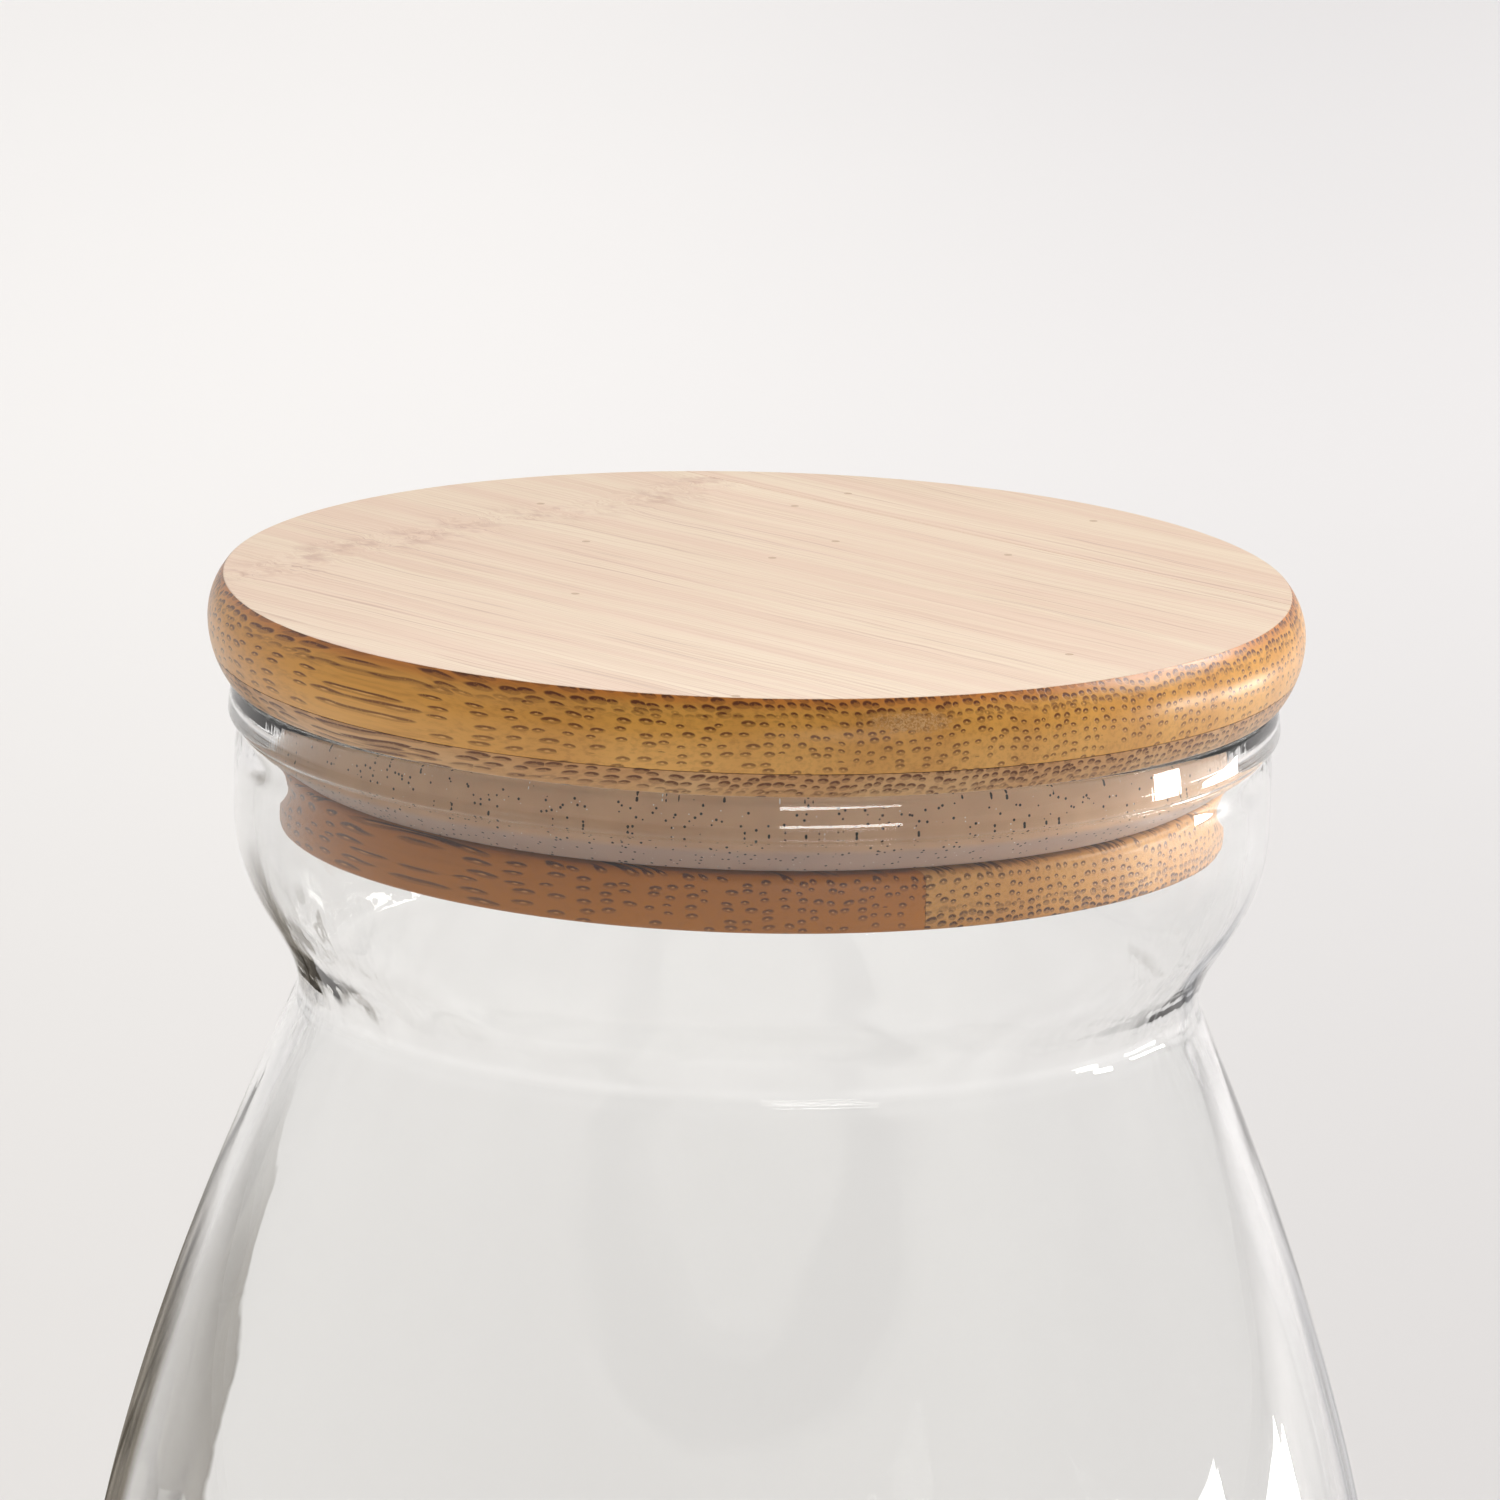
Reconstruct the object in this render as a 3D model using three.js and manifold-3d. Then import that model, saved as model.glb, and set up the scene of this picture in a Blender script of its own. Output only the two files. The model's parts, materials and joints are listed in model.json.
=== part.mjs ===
// Lidded glass canister: a blown glass jar with a drawn-in waist, closed by a push-in lid of
// laminated bamboo that a silicone lip seal holds in the mouth.
// Millimetres, +Z up. The origin is the centre of the base, on the plane that the jar stands on.

import * as THREE from 'three';
import { mergeVertices } from 'three/addons/utils/BufferGeometryUtils.js';
import Module from 'manifold-3d';

const wasm = await Module();
wasm.setup();

// ---- Driving dimensions ----

const HEIGHT = 180; // base to the lid's top face
const SIDES = 48; // facets round every turned piece
const GAP = 0.3; // clearance and glue line between neighbours

// Glass jar, heights above the base
const WALL = 1.9;
const FLOOR = 5;
const BASE_RADIUS = 46;
const PUNT_RADIUS = 36; // shallow push-up inside the standing ring
const PUNT_HEIGHT = 1.5;
const BELLY_RADIUS = 65.4;
const BELLY_Z = 51;
const WAIST_RADIUS = 43.4; // sharp crease where the bowl meets the body
const WAIST_Z = 139.6;
const MOUTH_RADIUS = 49.8;
const MOUTH_Z = 158; // below this the wall leaves the upright
const LIP_RADIUS = 50.4; // bead along the rim, widest just above the groove under it
const LIP_HEIGHT = 4.2;
const LIP_THICKNESS = 2.5;
const LIP_TAPER = 0.5; // how far the bead draws in towards its crown
const LIP_STEP = 0.5; // depth of the groove
const LIP_BORE = LIP_RADIUS - LIP_THICKNESS;

// How far each curve of the side keeps the direction of its end, and the flare under the waist
const FLARE_SLOPE = 0.42;
const FLARE_REACH = 19.4;
const BELLY_REACH = 38.9;
const BOWL_REACH = 6.4;
const MOUTH_REACH = 10;

// Lid, depths below its top face
const LID_RADIUS = 52.5;
const LID_WIDEST_DEPTH = 4;
const EDGE_RADIUS_ABOVE = 6.2; // rounding of the cap's edge above and below its widest line
const EDGE_RADIUS_BELOW = 9;
const CAP_DEPTH = 9.3;
const TOP_PLY = 6.83; // thickness of the sanded top ply
const PLUG_DEPTH = 23.3;
const PLUG_RADIUS = 45.5;
const PLUG_CHAMFER = 0.7;
const GROOVE_BOTTOM = 18; // the seal's groove runs from here up to the cap
const GROOVE_RADIUS = 42.5;

// Glue lines between the strips of each ply, measured across the grain from the lid's axis
const ACROSS_GRAIN = THREE.MathUtils.degToRad(46);
const TOP_SEAM = 31;
const CORE_SEAM = 12;
const PLUG_SEAM = -19.6;

// Silicone seal
const SEAL_ROOT = 2.1; // thickness of the band that sits in the groove
const SEAL_LIP = 1.1; // thickness of the lip that bends up along the glass
const SEAL_LIP_TOP = 10.6; // depths of the lip's straight stretch against the glass
const SEAL_LIP_BOTTOM = 15;

// ---- Derived ----

const LIP_Z = HEIGHT - CAP_DEPTH - GAP;
const LOWER_PLY = (PLUG_DEPTH - TOP_PLY) / 2;
const CORE_DEPTH = TOP_PLY + LOWER_PLY;

const GLASS = { color: 0xdfe6e4, roughness: 0.03, metalness: 0, transparent: true, opacity: 0.35 };
const BAMBOO_FACE = { color: 0xe1c3a8, roughness: 0.5, metalness: 0 };
const BAMBOO_EDGE = { color: 0xb9804a, roughness: 0.4, metalness: 0 };
const SILICONE = { color: 0x9d9398, roughness: 0.45, metalness: 0 };

// ---- Helpers ----

const point = (radius, z) => new THREE.Vector2(radius, z);

// Turns an outline of (radius, z) points about the Z axis.
function turned(outline) {
  return new THREE.LatheGeometry(outline, SIDES).rotateX(Math.PI / 2);
}

// Points on an elliptical arc, angles in degrees from the outward direction.
function arc(centreRadius, centreZ, radialSize, zSize, from, to, steps) {
  return Array.from({ length: steps + 1 }, (_, i) => {
    const angle = THREE.MathUtils.degToRad(from + ((to - from) * i) / steps);
    return point(centreRadius + radialSize * Math.cos(angle), centreZ + zSize * Math.sin(angle));
  });
}

function bezier(start, startHandle, endHandle, end, steps) {
  return new THREE.CubicBezierCurve(start, startHandle, endHandle, end).getPoints(steps);
}

function toSolid(geometry) {
  const bare = geometry.clone();
  bare.deleteAttribute('normal');
  bare.deleteAttribute('uv');
  const merged = mergeVertices(bare);
  return new wasm.Manifold(new wasm.Mesh({
    numProp: 3,
    vertProperties: merged.attributes.position.array,
    triVerts: new Uint32Array(merged.index.array),
  }));
}

function toGeometry(solid) {
  const { vertProperties, triVerts } = solid.getMesh();
  const geometry = new THREE.BufferGeometry();
  geometry.setAttribute('position', new THREE.BufferAttribute(vertProperties, 3));
  geometry.setIndex(new THREE.BufferAttribute(triVerts, 1));
  geometry.computeVertexNormals();
  return geometry;
}

function mesh(name, geometry, look) {
  const made = new THREE.Mesh(geometry, new THREE.MeshStandardMaterial(look));
  made.name = name;
  return made;
}

// ---- Glass jar ----

// The jar's side from the base up to the mouth, moved in by inset; the floor edge lies at floorZ.
function jarSide(inset, floorZ) {
  const waist = point(WAIST_RADIUS - inset, WAIST_Z);
  const belly = point(BELLY_RADIUS - inset, BELLY_Z);
  const mouth = point(MOUTH_RADIUS - inset, MOUTH_Z);
  const baseEdge = BASE_RADIUS - inset;
  return [
    ...arc(baseEdge, BELLY_Z, BELLY_RADIUS - BASE_RADIUS, BELLY_Z - floorZ, -90, 0, 9),
    ...bezier(
      belly,
      point(belly.x, BELLY_Z + BELLY_REACH),
      point(waist.x + FLARE_SLOPE * FLARE_REACH, WAIST_Z - FLARE_REACH),
      waist,
      10,
    ).slice(1),
    ...bezier(
      waist,
      point(waist.x, WAIST_Z + BOWL_REACH),
      point(mouth.x, MOUTH_Z - MOUTH_REACH),
      mouth,
      7,
    ).slice(1),
  ];
}

function glassJar() {
  const lipBottom = LIP_Z - LIP_HEIGHT;
  const lowRound = 0.6;
  const highRound = 0.9;
  const crown = LIP_RADIUS - LIP_TAPER - highRound;
  return mesh('glass_jar', turned([
    point(0, PUNT_HEIGHT),
    point(PUNT_RADIUS, 0),
    ...jarSide(0, 0),
    point(MOUTH_RADIUS, lipBottom - 1.4),
    point(MOUTH_RADIUS - LIP_STEP, lipBottom),
    ...arc(LIP_RADIUS - lowRound, lipBottom + lowRound, lowRound, lowRound, -50, 0, 2),
    ...arc(crown, LIP_Z - highRound, highRound, highRound, 12, 90, 3),
    ...arc(LIP_BORE + lowRound, LIP_Z - lowRound, lowRound, lowRound, 90, 180, 3),
    ...jarSide(WALL, FLOOR).reverse(),
    point(0, FLOOR),
  ]), GLASS);
}

// ---- Bamboo lid ----

// The cap's rounded edge between two depths below the lid's top face, from the lower one up.
function capEdge(fromDepth, toDepth, steps) {
  return Array.from({ length: steps + 1 }, (_, i) => {
    const depth = fromDepth + ((toDepth - fromDepth) * i) / steps;
    const offset = depth - LID_WIDEST_DEPTH;
    const round = offset > 0 ? EDGE_RADIUS_BELOW : EDGE_RADIUS_ABOVE;
    return point(LID_RADIUS - round + Math.sqrt(round ** 2 - offset ** 2), HEIGHT - depth);
  });
}

function topPly() {
  const underside = TOP_PLY - GAP / 2;
  return turned([
    point(0, HEIGHT - underside),
    ...capEdge(underside, LID_WIDEST_DEPTH, 2),
    ...capEdge(LID_WIDEST_DEPTH, 0, 4).slice(1),
    point(0, HEIGHT),
  ]);
}

function corePly() {
  const top = TOP_PLY + GAP / 2;
  const underside = HEIGHT - CORE_DEPTH + GAP / 2;
  return turned([
    point(0, underside),
    point(GROOVE_RADIUS, underside),
    point(GROOVE_RADIUS, HEIGHT - CAP_DEPTH),
    ...capEdge(CAP_DEPTH, top, 2),
    point(0, HEIGHT - top),
  ]);
}

function plugPly() {
  const top = HEIGHT - CORE_DEPTH - GAP / 2;
  const rim = PLUG_RADIUS - PLUG_CHAMFER;
  const flangeTop = HEIGHT - GROOVE_BOTTOM;
  const bottom = HEIGHT - PLUG_DEPTH;
  return turned([
    point(0, bottom),
    point(rim, bottom),
    point(PLUG_RADIUS, bottom + PLUG_CHAMFER),
    point(PLUG_RADIUS, flangeTop - PLUG_CHAMFER),
    point(rim, flangeTop),
    point(GROOVE_RADIUS, flangeTop),
    point(GROOVE_RADIUS, top),
    point(0, top),
  ]);
}

// The part of a ply between two upright planes along the grain, given by where they cross the
// across-grain axis.
function strip(ply, from, to) {
  const slab = new THREE.BoxGeometry(to - from, 4 * LID_RADIUS, 2 * HEIGHT);
  slab.translate((from + to) / 2, 0, HEIGHT);
  slab.rotateZ(ACROSS_GRAIN);
  return toGeometry(toSolid(ply).intersect(toSolid(slab)));
}

// A ply is two wide strips, glued edge to edge along its seam.
function plyStrips(name, ply, seam, look) {
  const beyond = 2 * LID_RADIUS;
  const left = strip(ply, -beyond, seam - GAP / 2);
  const right = strip(ply, seam + GAP / 2, beyond);
  return [mesh(`${name}_left`, left, look), mesh(`${name}_right`, right, look)];
}

// ---- Silicone seal ----

// A band in the plug's groove whose lip leans out to the glass and bends up along it.
function siliconeSeal() {
  const inner = GROOVE_RADIUS + GAP;
  const root = inner + SEAL_ROOT;
  const outer = LIP_BORE - GAP;
  const bottom = HEIGHT - GROOVE_BOTTOM + GAP;
  const top = HEIGHT - CAP_DEPTH - GAP;
  const lipBottom = HEIGHT - SEAL_LIP_BOTTOM;
  const lipTop = HEIGHT - SEAL_LIP_TOP;
  const outline = [
    point(inner, bottom),
    point(root, bottom),
    point(outer, lipBottom),
    point(outer, lipTop),
    point(outer - SEAL_LIP / 2, lipTop + SEAL_LIP / 4),
    point(outer - SEAL_LIP, lipBottom + SEAL_LIP),
    point(root, lipBottom),
    point(root, top),
    point(inner, top),
    point(inner, bottom),
  ];
  return mesh('silicone_seal', turned(outline), SILICONE);
}

// ---- Assembly ----

const canister = new THREE.Group();
canister.add(
  glassJar(),
  siliconeSeal(),
  ...plyStrips('lid_top_strip', topPly(), TOP_SEAM, BAMBOO_FACE),
  ...plyStrips('lid_core_strip', corePly(), CORE_SEAM, BAMBOO_EDGE),
  ...plyStrips('lid_plug_strip', plugPly(), PLUG_SEAM, BAMBOO_EDGE),
);

export default canister;
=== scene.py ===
# Looks of the lidded glass canister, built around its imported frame. Outlines are in millimetres,
# as (radius, height) pairs about the Z axis; meshes are in metres.
import json
import math

import bmesh
import bpy
from mathutils import Matrix, Vector, noise


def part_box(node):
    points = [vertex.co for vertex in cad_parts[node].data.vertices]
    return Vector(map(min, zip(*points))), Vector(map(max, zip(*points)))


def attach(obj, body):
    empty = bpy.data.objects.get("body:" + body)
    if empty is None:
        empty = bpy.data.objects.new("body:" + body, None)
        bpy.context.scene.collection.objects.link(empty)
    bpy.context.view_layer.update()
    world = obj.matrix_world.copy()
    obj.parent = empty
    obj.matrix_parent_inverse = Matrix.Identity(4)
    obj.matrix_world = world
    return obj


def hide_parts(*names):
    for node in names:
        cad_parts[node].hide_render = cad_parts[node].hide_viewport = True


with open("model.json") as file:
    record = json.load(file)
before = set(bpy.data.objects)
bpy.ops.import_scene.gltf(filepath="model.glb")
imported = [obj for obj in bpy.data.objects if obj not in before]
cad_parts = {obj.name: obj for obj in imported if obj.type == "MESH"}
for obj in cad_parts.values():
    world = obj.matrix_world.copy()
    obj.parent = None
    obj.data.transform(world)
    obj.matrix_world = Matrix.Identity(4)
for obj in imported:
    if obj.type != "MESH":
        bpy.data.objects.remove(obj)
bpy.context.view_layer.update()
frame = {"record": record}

MM = 0.001
BODY_OF = {node: body for body, nodes in frame["record"]["behaviour"]["bodies"].items() for node in nodes}

# ---- Sizes read from the frame, in millimetres ----


def low(node, axis=2):
    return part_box(node)[0][axis] / MM


def high(node, axis=2):
    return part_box(node)[1][axis] / MM


TOP = high("lid_top_strip_left")
LID_RADIUS = -low("lid_top_strip_left", 0)
BELLY_RADIUS = high("glass_jar", 0)
SEAL_RADIUS = high("silicone_seal", 0)
SEAL_BOTTOM = low("silicone_seal")
SEAL_TOP = high("silicone_seal")
PLUG_BOTTOM = low("lid_plug_strip_left")
TOP_GLUE = (low("lid_top_strip_left") + high("lid_core_strip_left")) / 2
CORE_GLUE = (low("lid_core_strip_left") + high("lid_plug_strip_left")) / 2

# ---- Sizes inside those boxes, in millimetres ----

WALL = 1.9
FLOOR = 5.0
BASE_RADIUS = 46.0
PUNT_RADIUS = 36.0
PUNT_HEIGHT = 1.5
BELLY_Z = 51.0
WAIST_RADIUS = 43.4
WAIST_Z = 139.6
WAIST_FILLET = 0.8  # rounding of the crease, outside
WAIST_FILLET_INSIDE = 1.0
MOUTH_RADIUS = 49.8
MOUTH_Z = 158.0
LIP_RADIUS = 50.45  # the bead, widest just above the groove under it
LIP_THICKNESS = 2.5
LIP_HEIGHT = 4.2
LIP_TAPER = 0.35
LIP_STEP = 0.18
FLARE_SLOPE = 0.42
FLARE_REACH = 19.4
BELLY_REACH = 38.9
BOWL_REACH = 6.4
MOUTH_REACH = 10.0

LID_WIDEST_Z = TOP - 4.0
EDGE_RADIUS_ABOVE = 6.2
EDGE_RADIUS_BELOW = 9.0
RIM_ROUND = 0.12
CAP_BOTTOM = TOP - 9.3
LIP_Z = CAP_BOTTOM - 0.05
PLUG_RADIUS = 45.5
GROOVE_BOTTOM = TOP - 18.0
GROOVE_RADIUS = 42.5
GLUE = 0.03  # half the thickness of a glue line

GRAIN = math.radians(46)  # direction across the grain, from +X
TORN = ((14.3, -50.3, TOP - 2.1), (5.0, 3.0, 1.1))  # torn patch on the cap's edge: centre and half size
TOP_SEAM = 31.0
CORE_SEAM = 12.0
PLUG_SEAM = -19.6

ROUND_STEPS = 288  # facets round the turned pieces

# ---- Mesh helpers ----


def bezier(start, start_handle, end_handle, end, steps):
    def at(t):
        weights = ((1 - t) ** 3, 3 * (1 - t) ** 2 * t, 3 * (1 - t) * t * t, t**3)
        corners = (start, start_handle, end_handle, end)
        return tuple(sum(w * c[k] for w, c in zip(weights, corners)) for k in (0, 1))

    return [at(i / steps) for i in range(steps + 1)]


def arc(centre, size, start, end, steps):
    """Points on an elliptical arc, angles in degrees from the outward direction."""
    angles = [math.radians(start + (end - start) * i / steps) for i in range(steps + 1)]
    return [(centre[0] + size[0] * math.cos(a), centre[1] + size[1] * math.sin(a)) for a in angles]


def rounded(outline, radii, steps=5):
    """An outline whose corners named in radii, {index: radius}, are rounded by short curves."""
    points = []
    for i, corner in enumerate(outline):
        if i not in radii:
            points.append(corner)
            continue
        here = Vector(corner)
        before = here + (Vector(outline[i - 1]) - here).normalized() * radii[i]
        after = here + (Vector(outline[(i + 1) % len(outline)]) - here).normalized() * radii[i]
        for k in range(steps + 1):
            t = k / steps
            points.append(tuple(before * (1 - t) ** 2 + here * 2 * t * (1 - t) + after * t * t))
    return points


def turned(outline, closed=False):
    """A bmesh of the outline turned about Z. It starts and ends on the axis, or closes on itself."""
    bm = bmesh.new()
    rings = []
    for radius, z in outline:
        if radius < 1e-6:
            rings.append([bm.verts.new((0, 0, z * MM))] * ROUND_STEPS)
            continue
        ring = []
        for i in range(ROUND_STEPS):
            angle = 2 * math.pi * i / ROUND_STEPS
            ring.append(bm.verts.new((radius * MM * math.cos(angle), radius * MM * math.sin(angle), z * MM)))
        rings.append(ring)
    pairs = list(zip(rings, rings[1:]))
    if closed:
        pairs.append((rings[-1], rings[0]))
    for a, b in pairs:
        for i in range(ROUND_STEPS):
            j = (i + 1) % ROUND_STEPS
            corners = list(dict.fromkeys((a[i], a[j], b[j], b[i])))
            if len(corners) > 2:
                bm.faces.new(corners)
    bmesh.ops.recalc_face_normals(bm, faces=bm.faces)
    return bm


def cut(bm, point, normal):
    """Cuts away the side of the bmesh that normal points to and closes the cut."""
    geometry = bm.verts[:] + bm.edges[:] + bm.faces[:]
    made = bmesh.ops.bisect_plane(
        bm, geom=geometry, dist=1e-7, plane_co=point, plane_no=normal, clear_outer=True
    )
    edges = [e for e in made["geom_cut"] if isinstance(e, bmesh.types.BMEdge)]
    bmesh.ops.triangle_fill(bm, edges=edges, use_beauty=True, use_dissolve=True)
    bmesh.ops.recalc_face_normals(bm, faces=bm.faces)


def piece(name, bm, material, sharp=32):
    """Makes the object, shades it smooth but for edges sharper than the angle, in degrees."""
    for face in bm.faces:
        face.smooth = True
    for edge in bm.edges:
        edge.smooth = not edge.is_manifold or edge.calc_face_angle() < math.radians(sharp)
    mesh = bpy.data.meshes.new(name)
    bm.to_mesh(mesh)
    bm.free()
    mesh.materials.append(material)
    made = bpy.data.objects.new(name, mesh)
    bpy.context.scene.collection.objects.link(made)
    return made


def stands_for(made, node):
    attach(made, BODY_OF[node])
    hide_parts(node)


# ---- Shader helper ----


class Shader:
    """Builds one material's nodes; every method returns an output socket."""

    def __init__(self, name):
        self.material = bpy.data.materials.new(name)
        self.material.use_nodes = True
        self.tree = self.material.node_tree
        self.tree.nodes.clear()

    def set(self, socket, value):
        if isinstance(value, bpy.types.NodeSocket):
            self.tree.links.new(value, socket)
        else:
            socket.default_value = value

    def node(self, kind, inputs=(), **settings):
        made = self.tree.nodes.new("ShaderNode" + kind)
        for name, value in settings.items():
            setattr(made, name, value)
        for name, value in dict(inputs).items():
            self.set(made.inputs[name], value)
        return made

    def math(self, operation, a, b=0.0, c=0.0, clamp=False):
        made = self.node("Math", operation=operation, use_clamp=clamp)
        for socket, value in zip(made.inputs, (a, b, c)):
            self.set(socket, value)
        return made.outputs[0]

    def vector(self, operation, a, b=(0, 0, 0), scale=1.0):
        made = self.node("VectorMath", operation=operation)
        self.set(made.inputs[0], a)
        self.set(made.inputs[1], b)
        self.set(made.inputs[3], scale)
        return made.outputs[0]

    def length(self, vector):
        return self.node("VectorMath", {0: vector}, operation="LENGTH").outputs["Value"]

    def combine(self, x=0.0, y=0.0, z=0.0):
        return self.node("CombineXYZ", {"X": x, "Y": y, "Z": z}).outputs[0]

    def split(self, vector):
        return self.node("SeparateXYZ", {"Vector": vector}).outputs[:3]

    def noise(self, vector, scale=1.0, detail=2.0, roughness=0.5, colour=False):
        inputs = {"Vector": vector, "Scale": scale, "Detail": detail, "Roughness": roughness}
        return self.node("TexNoise", inputs).outputs[1 if colour else 0]

    def remap(self, value, low, high, to_low=0.0, to_high=1.0):
        inputs = {"Value": value, "From Min": low, "From Max": high, "To Min": to_low, "To Max": to_high}
        return self.node("MapRange", inputs, interpolation_type="SMOOTHSTEP").outputs[0]

    def bell(self, value, centre, width):
        """1 where the value is at the centre, falling to 0 away from it."""
        offset = self.math("DIVIDE", self.math("SUBTRACT", value, centre), width)
        return self.math("EXPONENT", self.math("MULTIPLY", self.math("MULTIPLY", offset, offset), -1.0))

    def mix(self, factor, a, b, blend="MIX"):
        made = self.node("Mix", data_type="RGBA", blend_type=blend)
        self.set(made.inputs[0], factor)
        self.set(made.inputs[6], a)
        self.set(made.inputs[7], b)
        return made.outputs[2]

    def bump(self, height, strength, distance, normal=None):
        inputs = {"Height": height, "Strength": strength, "Distance": distance}
        if normal is not None:
            inputs["Normal"] = normal
        return self.node("Bump", inputs).outputs[0]

    def finish(self, surface):
        output = self.node("OutputMaterial")
        self.tree.links.new(surface, output.inputs["Surface"])
        return self.material


def colour(red, green, blue):
    """A colour given as display values from 0 to 255."""
    shown = (red, green, blue)
    return tuple(((v / 255 + 0.055) / 1.055) ** 2.4 if v > 10 else v / 3294 for v in shown) + (1,)


# ---- Materials ----


def bundles(s, across, height, spacing, seed, size):
    """Fibre bundles cut across: dark arcs round a pale heart. Returns arcs, hearts and a random value."""
    place = s.combine(
        s.math("ADD", s.math("DIVIDE", across, spacing[0]), 7.3 * seed),
        s.math("ADD", s.math("DIVIDE", height, spacing[1]), 3.1 * seed),
    )
    inputs = {"Vector": place, "Scale": 1.0, "Randomness": 0.55}
    cells = s.node("TexVoronoi", inputs, voronoi_dimensions="2D")
    chance = s.split(cells.outputs["Color"])[0]
    upward = s.split(s.vector("SUBTRACT", place, cells.outputs["Position"]))[1]
    distance = cells.outputs["Distance"]
    upright = s.math("DIVIDE", upward, s.math("MAXIMUM", distance, 0.01))
    distance = s.math("DIVIDE", distance, s.remap(chance, 0.0, 1.0, 0.8 * size, 1.2 * size))
    ring = s.math("MULTIPLY", s.remap(distance, 0.15, 0.45), s.remap(distance, 0.9, 1.25, 1.0, 0.0))
    arcs = s.math("MULTIPLY", ring, s.remap(upright, -0.5, 0.4, 0.4, 1.0))
    return arcs, s.remap(distance, 0.1, 0.4, 1.0, 0.0), chance


def bamboo(name, top, thickness, seed, knuckle, skin_up, tones, coat, face=False, torn=None):
    """Bamboo strip: fibre bundles run along the grain and are dense towards the skin side."""
    s = Shader(name)
    place = s.node("TexCoord").outputs["Object"]
    turn = s.node("Mapping", {"Vector": place, "Rotation": (0, 0, -GRAIN), "Scale": (1 / MM,) * 3})
    millimetres = turn.outputs[0]
    across, along, height = s.split(millimetres)
    depth = s.math("DIVIDE", s.math("SUBTRACT", top, height), thickness)
    if not skin_up:
        depth = s.math("SUBTRACT", 1.0, depth)

    # the knuckle: a band across the grain where the fibres swirl
    bow = s.math("MULTIPLY", s.math("SUBTRACT", s.noise(s.combine(across, 0.0, seed), 0.05), 0.5), 14.0)
    knot = s.bell(s.math("SUBTRACT", along, bow), knuckle, 3.4)
    swirl = s.noise(s.combine(across, along, s.math("ADD", height, seed)), 0.33, 2.0, 0.6, colour=True)
    drift = s.combine(s.math("MULTIPLY", across, 0.12), s.math("MULTIPLY", along, 0.035), seed)
    wander = s.noise(drift, 1.0, 3.0, 0.5, colour=True)

    def shifted(value, axis):
        strength = s.math("MULTIPLY", knot, 7.0)
        swirled = s.math("MULTIPLY", s.math("SUBTRACT", s.split(swirl)[axis], 0.5), strength)
        wandered = s.math("MULTIPLY", s.math("SUBTRACT", s.split(wander)[axis], 0.5), 2.4)
        return s.math("ADD", value, s.math("ADD", swirled, wandered))

    p = shifted(across, 0)
    z = shifted(height, 1)

    big, hearts, chance = bundles(s, p, z, (1.1, 0.88), seed, 0.26)
    small, cores, _ = bundles(s, p, z, (0.9, 0.72), seed + 9.0, 0.36)
    small = s.math("ADD", small, s.math("MULTIPLY", cores, 0.6))
    kept = s.math("GREATER_THAN", chance, s.remap(depth, 0.55, 1.0, 0.0, 0.5))
    near_skin = s.remap(depth, 0.34, 0.12)
    big = s.math("MULTIPLY", s.math("MULTIPLY", big, kept), s.math("SUBTRACT", 1.0, near_skin))
    hearts = s.math("MULTIPLY", s.math("MULTIPLY", hearts, kept), s.math("SUBTRACT", 1.0, near_skin))
    rings = s.math("ADD", big, s.math("MULTIPLY", small, near_skin))
    grit = s.noise(millimetres, 3.2, 2.0, 0.6)
    rings = s.math("MULTIPLY", rings, s.remap(grit, 0.25, 0.45, 0.6, 1.0))
    dark = s.math("MULTIPLY", rings, s.remap(depth, 0.1, 1.0, 1.0, 0.7), clamp=True)

    fibre = s.noise(s.combine(p, s.math("MULTIPLY", along, 0.02), z), 2.6, 3.0, 0.6)
    broad = s.noise(s.combine(p, s.math("MULTIPLY", along, 0.04), seed), 0.16, 2.0, 0.5)

    skin, middle, inner, pit = tones
    wood = s.mix(s.remap(depth, 0.0, 0.2), skin, middle)
    wood = s.mix(s.remap(depth, 0.35, 0.9), wood, inner)
    wood = s.mix(s.remap(broad, 0.35, 0.65, 0.0, 0.3), wood, colour(186, 118, 50))
    wood = s.mix(s.remap(fibre, 0.4, 0.75, 0.0, 0.3), wood, colour(150, 92, 38))
    wood = s.mix(s.math("MULTIPLY", knot, 0.3), wood, colour(150, 92, 40))
    wood = s.mix(s.math("MULTIPLY", hearts, 0.3), wood, colour(232, 190, 130))
    roughness = s.remap(grit, 0.2, 0.8, 0.3, 0.42)
    relief = s.math("ADD", s.math("MULTIPLY", dark, -0.6), s.math("MULTIPLY", fibre, 0.25))

    if torn is not None:
        # a patch where the cutter tore the fibres
        centre, size = torn
        away = s.vector("DIVIDE", s.vector("SUBTRACT", s.vector("SCALE", place, scale=1 / MM), centre), size)
        ragged = s.noise(millimetres, 1.6, 3.0, 0.7)
        patch = s.remap(s.math("ADD", s.length(away), s.math("MULTIPLY", ragged, 1.2)), 0.9, 1.7, 1.0, 0.0)
        splinters = s.noise(millimetres, 5.0, 2.0, 0.7)
        bare = s.mix(s.remap(splinters, 0.4, 0.6), colour(176, 124, 72), colour(222, 182, 134))
        dark = s.math("MULTIPLY", dark, s.remap(patch, 0.0, 1.0, 1.0, 0.3))
        wood = s.mix(s.math("MULTIPLY", patch, 0.65), wood, bare)
        roughness = s.math("MAXIMUM", roughness, s.math("MULTIPLY", patch, 0.8))
        relief = s.math("ADD", relief, s.math("MULTIPLY", s.math("MULTIPLY", splinters, patch), 1.2))
    wood = s.mix(dark, wood, pit)

    if face:
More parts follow.
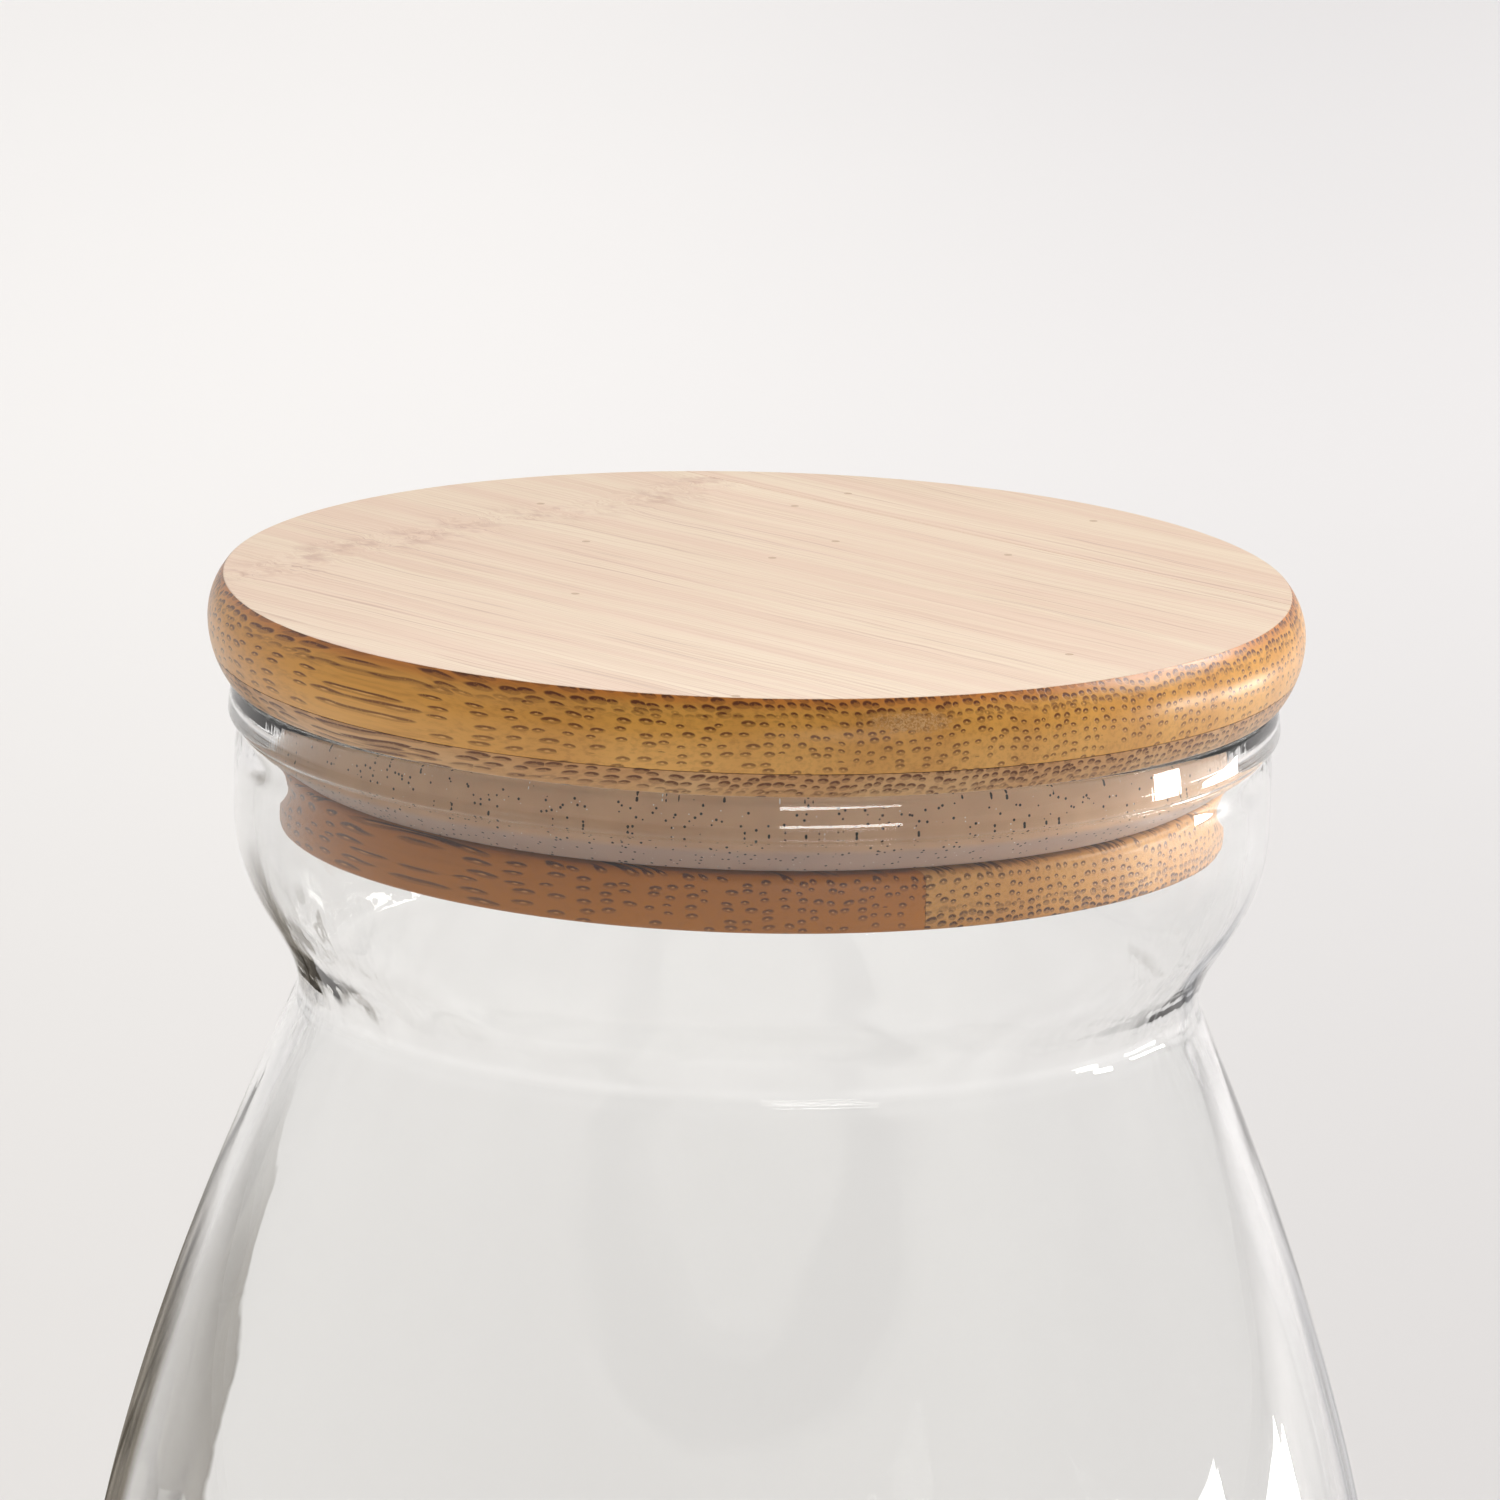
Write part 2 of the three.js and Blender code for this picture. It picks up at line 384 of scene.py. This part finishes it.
        # the sanded top: the same fibres sliced along, pale and low in contrast; the pale colour is partly
        # the face's own tone and partly painted glare
        flat = s.math("GREATER_THAN", height, top - 0.05)
        lengthwise = s.math("MULTIPLY", along, 0.02)
        fine = s.noise(s.combine(s.math("MULTIPLY", p, 3.4), lengthwise, seed), 1.0, 3.0, 0.6)
        lines = s.noise(s.combine(s.math("MULTIPLY", p, 1.5), lengthwise, seed + 5.0), 1.0, 3.0, 0.65)
        bands = s.noise(s.combine(p, lengthwise, seed + 3.0), 0.22, 2.0, 0.5)
        sanded_and_glare = s.mix(s.remap(bands, 0.38, 0.62), colour(230, 204, 172), colour(225, 191, 161))
        sanded_and_glare = s.mix(s.remap(fine, 0.42, 0.66, 0.0, 0.4), sanded_and_glare, colour(200, 156, 126))
        sanded_and_glare = s.mix(s.remap(lines, 0.58, 0.68, 0.0, 0.6), sanded_and_glare, colour(180, 130, 98))
        smudge = s.noise(s.combine(across, s.math("MULTIPLY", along, 0.6), seed), 0.5, 2.0, 0.6)
        smudge = s.math("MULTIPLY", knot, s.remap(smudge, 0.45, 0.7, 0.0, 0.6))
        sanded_and_glare = s.mix(smudge, sanded_and_glare, colour(178, 122, 92))
        inputs = {"Vector": s.combine(across, along), "Scale": 0.11}
        cells = s.node("TexVoronoi", inputs, voronoi_dimensions="2D")
        speck = s.math("LESS_THAN", cells.outputs["Distance"], 0.045)
        speck = s.math("MULTIPLY", speck, s.math("GREATER_THAN", s.split(cells.outputs["Color"])[0], 0.85))
        sanded_and_glare = s.mix(s.math("MULTIPLY", speck, 0.7), sanded_and_glare, colour(168, 118, 52))
        wood = s.mix(flat, wood, sanded_and_glare)
        roughness = s.mix(flat, roughness, s.remap(fine, 0.3, 0.7, 0.42, 0.55))

    shader = s.node(
        "BsdfPrincipled",
        {
            "Base Color": wood,
            "Roughness": roughness,
            "Normal": s.bump(relief, 0.35, 0.12 * MM),
            "Specular IOR Level": 0.25,
            "Coat Weight": coat,
            "Coat Roughness": 0.28,
        },
    )
    return s.finish(shader.outputs[0])


def clear_glass():
    s = Shader("clear_glass")
    place = s.vector("SCALE", s.node("TexCoord").outputs["Object"], scale=1 / MM)
    height = s.split(place)[2]
    waves = s.noise(s.vector("MULTIPLY", place, (1.0, 1.0, 0.25)), 0.06, 2.0, 0.5)
    ripples = s.noise(s.vector("MULTIPLY", place, (1.0, 1.0, 0.5)), 0.3, 2.0, 0.5)
    ripples = s.math("MULTIPLY", ripples, s.bell(height, WAIST_Z + 4.0, 11.0))
    strokes = s.noise(s.vector("MULTIPLY", place, (1.0, 1.0, 0.05)), 1.5, 2.0, 0.5)
    strokes = s.math("MULTIPLY", strokes, s.bell(height, LIP_Z - 3.0, 2.5))
    relief = s.math("ADD", waves, s.math("MULTIPLY", ripples, 0.6))
    relief = s.math("ADD", relief, s.math("MULTIPLY", strokes, 0.1))
    glass = s.node(
        "BsdfPrincipled",
        {
            "Base Color": (0.992, 0.996, 0.993, 1),
            "Roughness": 0.0,
            "IOR": 1.5,
            "Transmission Weight": 1.0,
            "Normal": s.bump(relief, 1.0, 0.05 * MM),
        },
    )
    lamps = s.node("BsdfTransparent", {"Color": (0.94, 0.95, 0.945, 1)})
    path = s.node("LightPath")
    both = s.node("MixShader", {0: path.outputs["Is Shadow Ray"]})
    s.tree.links.new(glass.outputs[0], both.inputs[1])
    s.tree.links.new(lamps.outputs[0], both.inputs[2])
    return s.finish(both.outputs[0])


def grey_silicone():
    s = Shader("grey_silicone")
    place = s.vector("SCALE", s.node("TexCoord").outputs["Object"], scale=1 / MM)
    height = s.split(place)[2]

    def specks(scale, size, share, seed):
        moved = s.vector("ADD", place, (seed, 0.0, 0.0))
        cells = s.node("TexVoronoi", {"Vector": moved, "Scale": scale, "Randomness": 1.0})
        dot = s.math("LESS_THAN", cells.outputs["Distance"], size)
        few = s.math("LESS_THAN", s.split(cells.outputs["Color"])[0], share)
        return s.math("MULTIPLY", dot, few)

    cloud = s.noise(place, 0.18, 3.0, 0.5)
    base = s.mix(s.remap(cloud, 0.35, 0.65), colour(218, 178, 142), colour(208, 168, 134))
    base = s.mix(s.remap(height, TOP - 15.6, TOP - 14.6, 0.6, 0.0), base, colour(192, 172, 166))
    base = s.mix(specks(1.5, 0.2, 0.75, 0.0), base, colour(28, 22, 20))
    base = s.mix(specks(1.5, 0.1, 0.4, 31.0), base, colour(244, 240, 236))
    shader = s.node(
        "BsdfPrincipled",
        {
            "Base Color": base,
            "Roughness": s.remap(cloud, 0.2, 0.8, 0.38, 0.52),
            "Subsurface Weight": 0.45,
            "Subsurface Radius": (1.0, 0.8, 0.7),
            "Subsurface Scale": 2 * MM,
            "Normal": s.bump(s.noise(place, 1.4, 2.0, 0.5), 0.1, 0.1 * MM),
        },
    )
    return s.finish(shader.outputs[0])


# ---- Glass jar ----


def jar_side(inset, floor_z, fillet):
    """The jar's side from the base up to the mouth, moved in by inset."""
    waist = (WAIST_RADIUS - inset, WAIST_Z)
    belly = (BELLY_RADIUS - inset, BELLY_Z)
    mouth = (MOUTH_RADIUS - inset, MOUTH_Z)
    base_edge = BASE_RADIUS - inset
    base = arc((base_edge, BELLY_Z), (BELLY_RADIUS - BASE_RADIUS, BELLY_Z - floor_z), -90, 0, 28)
    flare_handle = (waist[0] + FLARE_SLOPE * FLARE_REACH, WAIST_Z - FLARE_REACH)
    body = bezier(belly, (belly[0], BELLY_Z + BELLY_REACH), flare_handle, waist, 90)
    bowl = bezier(waist, (waist[0], WAIST_Z + BOWL_REACH), (mouth[0], MOUTH_Z - MOUTH_REACH), mouth, 40)
    below = [point for point in body if point[1] < WAIST_Z - fillet]
    above = [point for point in bowl if point[1] > WAIST_Z + fillet]
    start, corner, end = Vector(below[-1]), Vector(waist), Vector(above[0])
    crease = []
    for i in range(1, 12):
        t = i / 12
        crease.append(tuple(start * (1 - t) ** 2 + corner * 2 * t * (1 - t) + end * t * t))
    return base + below[1:] + crease + above


def blown(bm):
    """The slight unevenness of blown glass, stronger round the waist."""
    for v in bm.verts:
        radius = math.hypot(v.co.x, v.co.y)
        if radius < 5 * MM:
            continue
        z = v.co.z / MM
        outward = Vector((v.co.x, v.co.y, 0)) / radius
        at = Vector((outward.x * 3.2, outward.y * 3.2, z / 30))
        broad = noise.noise(at)
        fine = noise.noise(Vector((outward.x * 9, outward.y * 9, z / 14 + 350 * radius)))
        waist = math.exp(-(((z - WAIST_Z) / 9) ** 2))
        mouth = min(max((MOUTH_Z - z) / 10, 0.25), 1.0)
        amount = 0.10 * broad * mouth + (0.03 + 0.10 * waist) * fine * mouth
        v.co += outward * amount * MM


def glass_jar():
    notch = LIP_Z - LIP_HEIGHT
    shoulder = LIP_Z - 0.9
    crown = LIP_RADIUS - LIP_TAPER - 0.9
    bore = LIP_RADIUS - LIP_THICKNESS
    under = bezier(
        (0, PUNT_HEIGHT), (PUNT_RADIUS * 0.5, PUNT_HEIGHT), (PUNT_RADIUS * 0.8, 0), (PUNT_RADIUS, 0), 14
    )
    groove = bezier(
        (MOUTH_RADIUS, notch - 4.2),
        (MOUTH_RADIUS, notch - 3.0),
        (MOUTH_RADIUS - LIP_STEP, notch - 2.0),
        (MOUTH_RADIUS - LIP_STEP, notch - 0.7),
        10,
    )
    bead = bezier(
        groove[-1],
        (MOUTH_RADIUS - LIP_STEP, notch - 0.1),
        (LIP_RADIUS + 0.04, notch - 0.2),
        (LIP_RADIUS, notch + 0.65),
        14,
    )[1:]
    shoulder_edge = (LIP_RADIUS - LIP_TAPER, shoulder + 0.14)
    bead += bezier(
        bead[-1],
        (LIP_RADIUS - 0.08, notch + 1.55),
        (shoulder_edge[0] + 0.14, shoulder_edge[1] - 0.9),
        shoulder_edge,
        14,
    )[1:]
    bead += arc((crown, shoulder), (0.9, 0.9), 12, 90, 10)
    bead += arc((bore + 0.7, LIP_Z - 0.7), (0.7, 0.7), 90, 180, 10)
    outline = under
    outline += jar_side(0, 0, WAIST_FILLET)
    outline += groove
    outline += bead
    outline += [(bore, notch), (MOUTH_RADIUS - WALL, notch - 3.0)]
    outline += jar_side(WALL, FLOOR, WAIST_FILLET_INSIDE)[::-1]
    outline.append((0, FLOOR))
    bm = turned(outline)
    blown(bm)
    stands_for(piece("blown_glass_jar", bm, clear_glass()), "glass_jar")


# ---- Bamboo lid ----


def cap_edge(from_z, to_z, steps):
    points = []
    for i in range(steps + 1):
        z = from_z + (to_z - from_z) * i / steps
        offset = z - LID_WIDEST_Z
        radius = EDGE_RADIUS_ABOVE if offset > 0 else EDGE_RADIUS_BELOW
        points.append((LID_RADIUS - radius + math.sqrt(radius**2 - offset**2), z))
    return points


def top_outline():
    bottom = TOP_GLUE + GLUE
    edge = cap_edge(bottom, TOP, 26)
    outline = [(0, bottom), *edge, (0, TOP)]
    return rounded(outline, {len(edge): RIM_ROUND}, 3)


def core_outline():
    bottom = CORE_GLUE + GLUE
    top = TOP_GLUE - GLUE
    edge = cap_edge(CAP_BOTTOM, top, 8)
    outline = [
        (0, bottom), (GROOVE_RADIUS, bottom), (GROOVE_RADIUS, CAP_BOTTOM), *edge, (0, top),
    ]
    return rounded(outline, {2: 0.3, 3: 0.2}, 3)


def plug_outline():
    top = CORE_GLUE - GLUE
    outline = [
        (0, PLUG_BOTTOM), (PLUG_RADIUS, PLUG_BOTTOM), (PLUG_RADIUS, GROOVE_BOTTOM),
        (GROOVE_RADIUS, GROOVE_BOTTOM), (GROOVE_RADIUS, top), (0, top),
    ]
    return rounded(outline, {1: 0.5, 2: 0.9, 3: 0.3}, 4)


def strip(name, node, outline, seam, side, material):
    """One strip of a ply: side is -1 for the part before the seam, across the grain, and 1 after it."""
    bm = turned(outline)
    across = Vector((math.cos(GRAIN), math.sin(GRAIN), 0))
    cut(bm, across * (seam + side * GLUE) * MM, across * -side)
    stands_for(piece(name, bm, material), node)


# where each strip's knuckle lies along the grain
KNUCKLES = {
    ("top", "left"): 34.0, ("top", "right"): 70.0, ("core", "left"): -80.0,
    ("core", "right"): 90.0, ("plug", "left"): -70.0, ("plug", "right"): 88.0,
}
# colours at the skin side, in the middle, at the inner side, and of the bundles
TONES = {
    "top": (colour(208, 126, 42), colour(232, 168, 76), colour(234, 176, 94), colour(104, 52, 10)),
    "core": (colour(210, 162, 110), colour(216, 172, 120), colour(220, 178, 130), colour(104, 58, 24)),
    "plug": (colour(174, 96, 16), colour(182, 108, 20), colour(188, 114, 26), colour(72, 32, 6)),
    "pale plug": (colour(204, 144, 74), colour(212, 156, 86), colour(218, 164, 96), colour(84, 44, 14)),
}


def bamboo_lid():
    top_depth = TOP - TOP_GLUE
    core_depth = TOP_GLUE - CORE_GLUE
    plug_depth = CORE_GLUE - PLUG_BOTTOM
    sizes = {"top": (TOP, top_depth), "core": (TOP_GLUE, core_depth), "plug": (CORE_GLUE, plug_depth)}
    outlines = {"top": top_outline(), "core": core_outline(), "plug": plug_outline()}
    for number, (ply, seam) in enumerate((("top", TOP_SEAM), ("core", CORE_SEAM), ("plug", PLUG_SEAM))):
        for side, end in ((-1, "left"), (1, "right")):
            turned_over = (ply, end) == ("plug", "right")
            material = bamboo(
                f"bamboo_{ply}_{end}", *sizes[ply], 10.0 * number + 3.0 * side, KNUCKLES[ply, end],
                skin_up=not turned_over,
                tones=TONES["pale plug" if turned_over else ply],
                coat=0.1 if ply == "plug" else 0.6,
                face=ply == "top",
                torn=TORN if (ply, end) == ("top", "left") else None,
            )
            strip(f"bamboo_{ply}_{end}", f"lid_{ply}_strip_{end}", outlines[ply], seam, side, material)


# ---- Silicone seal ----


def silicone_seal():
    inner = GROOVE_RADIUS + 0.3
    root = inner + 2.1
    lip_low = TOP - 15.0
    lip_high = TOP - 10.6
    outline = [
        (inner, SEAL_BOTTOM), (root, SEAL_BOTTOM), (SEAL_RADIUS, lip_low), (SEAL_RADIUS, lip_high),
        (SEAL_RADIUS - 0.8, lip_high + 0.3), (SEAL_RADIUS - 1.1, lip_low + 1.1), (root, lip_low),
        (root, SEAL_TOP), (inner, SEAL_TOP),
    ]
    radii = {0: 0.3, 1: 0.4, 2: 0.7, 3: 0.35, 4: 0.25, 5: 0.5, 6: 0.4, 7: 0.3, 8: 0.3}
    bm = turned(rounded(outline, radii, 4), closed=True)
    stands_for(piece("silicone_lip_seal", bm, grey_silicone(), 60), "silicone_seal")


# ---- Floor, light and camera, in metres ----

ROOM_FRONT = 0.2
ROOM_BACK = 0.62
CARD_BEHIND = 0.24
CARD_HEIGHT = 0.09
CARD_FADE = 0.05
BOUNCES = 64  # light caught in the lip and the waist needs many
DAYLIGHT = (1.0, 0.98, 0.95)
LOW_LIGHT = (1.0, 0.99, 0.97)


def pale_floor():
    s = Shader("pale_floor")
    place = s.node("TexCoord").outputs["Object"]
    grain = s.noise(place, 3.0, 3.0, 0.5)
    x, y, _ = s.split(place)
    # painted light and shade: the floor is darker near the camera and lighter far off
    near_shaded = s.mix(grain, (0.69, 0.675, 0.665, 1), (0.71, 0.695, 0.685, 1))
    far_lit = s.mix(grain, (0.82, 0.805, 0.80, 1), (0.84, 0.825, 0.82, 1))
    base = s.mix(s.remap(y, 0.2, 1.1), near_shaded, far_lit)
    # painted shade: the floor darkens towards +x
    base = s.mix(s.remap(x, -0.12, 0.16), base, (0.86, 0.86, 0.875, 1), "MULTIPLY")
    shader = s.node("BsdfPrincipled", {"Base Color": base, "Roughness": 0.6, "Specular IOR Level": 0.2})
    material = s.finish(shader.outputs[0])
    bm = bmesh.new()
    bmesh.ops.create_grid(bm, x_segments=8, y_segments=8, size=9.0)
    piece("floor", bm, material)


def softbox(name, azimuth, elevation, distance, size, watts, tint, mirrored=True):
    """An area light on the lid; azimuth in degrees from the camera's side to the right."""
    light = bpy.data.lights.new(name, "AREA")
    light.shape = "RECTANGLE"
    light.size, light.size_y = size
    light.energy = watts
    light.color = tint
    lamp = bpy.data.objects.new(name, light)
    turn, rise = math.radians(azimuth), math.radians(elevation)
    away = Vector((math.sin(turn) * math.cos(rise), -math.cos(turn) * math.cos(rise), math.sin(rise)))
    lamp.location = Vector((0, 0, LIP_Z * MM)) + away * distance
    lamp.rotation_euler = away.to_track_quat("Z", "Y").to_euler()
    lamp.visible_camera = False
    lamp.visible_glossy = mirrored
    lamp.visible_transmission = mirrored
    bpy.context.scene.collection.objects.link(lamp)


def card(name, inner, outer, tone, soft, wobble):
    """A glowing toned card behind the jar that only the glass shows, from one x to another; its glow paints
    the dark and grey bands seen in the glass.

    Its inner edge is ragged by wobble and as soft as soft says; outwards and upwards it fades.
    """
    s = Shader(name)
    place = s.node("TexCoord").outputs["Object"]
    x, _, z = s.split(place)
    side = math.copysign(1.0, outer)
    ragged = s.noise(s.combine(0.0, 0.0, z), 45.0, 4.0, 0.6)
    edge = s.math("SUBTRACT", s.math("MULTIPLY", x, side), s.math("MULTIPLY", ragged, wobble))
    shown = s.remap(edge, abs(inner) - wobble / 2, abs(inner) - wobble / 2 + soft)
    shown = s.math("MULTIPLY", shown, s.remap(z, 0.04, CARD_HEIGHT - 0.005, 1.0, 0.0))
    fade = s.remap(s.math("MULTIPLY", x, side), abs(outer) - CARD_FADE, abs(outer), 1.0, 0.0)
    shown = s.math("MULTIPLY", shown, fade)
    streaks = s.noise(s.combine(x, 0.0, s.math("MULTIPLY", z, 0.06)), 70.0, 3.0, 0.6)
    darker = tuple(0.7 * c for c in tone) + (1,)
    lighter = tuple(1.4 * c for c in tone) + (1,)
    shade = s.mix(s.remap(streaks, 0.3, 0.7), darker, lighter)
    # painted reflection: the card glows with this tone instead of being lit
    both = s.node("MixShader", {0: shown})
    s.tree.links.new(s.node("BsdfTransparent").outputs[0], both.inputs[1])
    s.tree.links.new(s.node("Emission", {"Color": shade}).outputs[0], both.inputs[2])
    bm = bmesh.new()
    start = inner - side * wobble
    corners = [(start, 0), (outer, 0), (outer, CARD_HEIGHT), (start, CARD_HEIGHT)]
    bm.faces.new([bm.verts.new((x, CARD_BEHIND, z)) for x, z in corners])
    made = piece(name, bm, s.finish(both.outputs[0]))
    made.visible_camera = False
    made.visible_shadow = False
    made.visible_diffuse = False


def room():
    """The studio around: pale, and dimmer on the camera's side."""
    world = bpy.data.worlds.new("room")
    world.use_nodes = True
    bpy.context.scene.world = world
    tree = world.node_tree
    place = tree.nodes.new("ShaderNodeTexCoord")
    parts = tree.nodes.new("ShaderNodeSeparateXYZ")
    level = tree.nodes.new("ShaderNodeMapRange")
    limits = {"From Min": -0.9, "From Max": 0.4, "To Min": ROOM_FRONT, "To Max": ROOM_BACK}
    for name, value in limits.items():
        level.inputs[name].default_value = value
    background = tree.nodes["Background"]
    background.inputs["Color"].default_value = (0.94, 0.93, 0.92, 1)
    tree.links.new(place.outputs["Generated"], parts.inputs[0])
    tree.links.new(parts.outputs["Y"], level.inputs["Value"])
    tree.links.new(level.outputs[0], background.inputs["Strength"])


def studio():
    softbox("window_side", 98.5, 34, 2.2, (0.35, 0.85), 14, DAYLIGHT)
    softbox("window_back", 120.5, 34, 2.2, (0.58, 0.85), 22, DAYLIGHT)
    softbox("low_side", 97.6, -4, 1.0, (0.16, 0.105), 1.2, LOW_LIGHT)
    softbox("low_back", 118.8, -8.2, 1.0, (0.27, 0.046), 0.9, LOW_LIGHT)
    for number, elevation in enumerate((-1.2, 3.2, 9.0)):
        softbox(f"strip_{number}", 19, elevation, 2.0, (0.9, 0.026), 1.0, LOW_LIGHT)
    softbox("fill_left", -60, 20, 2.5, (1.6, 1.2), 9, DAYLIGHT, mirrored=False)
    softbox("ceiling", 185, 40, 3.4, (2.4, 2.4), 36, (1.0, 0.995, 0.99))
    card("card_left", -0.091, -0.24, (0.035, 0.028, 0.018), 0.002, 0.004)
    card("card_left_edge", -0.080, -0.24, (0.26, 0.232, 0.195), 0.002, 0.014)
    card("card_right", 0.093, 0.19, (0.46, 0.455, 0.465), 0.025, 0.004)
    room()
    scene = bpy.context.scene
    scene.view_settings.view_transform = "Standard"
    scene.view_settings.exposure = 0.0
    scene.cycles.max_bounces = BOUNCES
    scene.cycles.glossy_bounces = BOUNCES
    scene.cycles.transmission_bounces = BOUNCES


ELEVATION = math.radians(12.2)
ROLL = math.radians(1.44)
DISTANCE = 0.887
LENS = 222.6
SENSOR = 36.0
# where the middle of the lid's top face lies in the frame, from its middle, in frame widths
LID_RIGHT = 0.0052
LID_UP = 0.1144


def camera():
    forward = Vector((0, math.cos(ELEVATION), -math.sin(ELEVATION)))
    right = Vector((1, 0, 0))
    up = right.cross(forward)
    rolled_right = right * math.cos(ROLL) + up * math.sin(ROLL)
    rolled_up = up * math.cos(ROLL) - right * math.sin(ROLL)
    frame_angle = SENSOR / LENS
    aim = (forward - rolled_right * LID_RIGHT * frame_angle - rolled_up * LID_UP * frame_angle).normalized()
    across = aim.cross(rolled_up).normalized()
    basis = Matrix((across, across.cross(aim), -aim)).transposed()
    data = bpy.data.cameras.new("camera")
    data.lens = LENS
    data.sensor_width = SENSOR
    data.clip_start = 0.05
    data.clip_end = 50
    made = bpy.data.objects.new("camera", data)
    made.matrix_world = Matrix.Translation(Vector((0, 0, TOP * MM)) - forward * DISTANCE) @ basis.to_4x4()
    bpy.context.scene.collection.objects.link(made)
    bpy.context.scene.camera = made


# ---- Assembly ----

camera()
glass_jar()
bamboo_lid()
silicone_seal()
pale_floor()
studio()
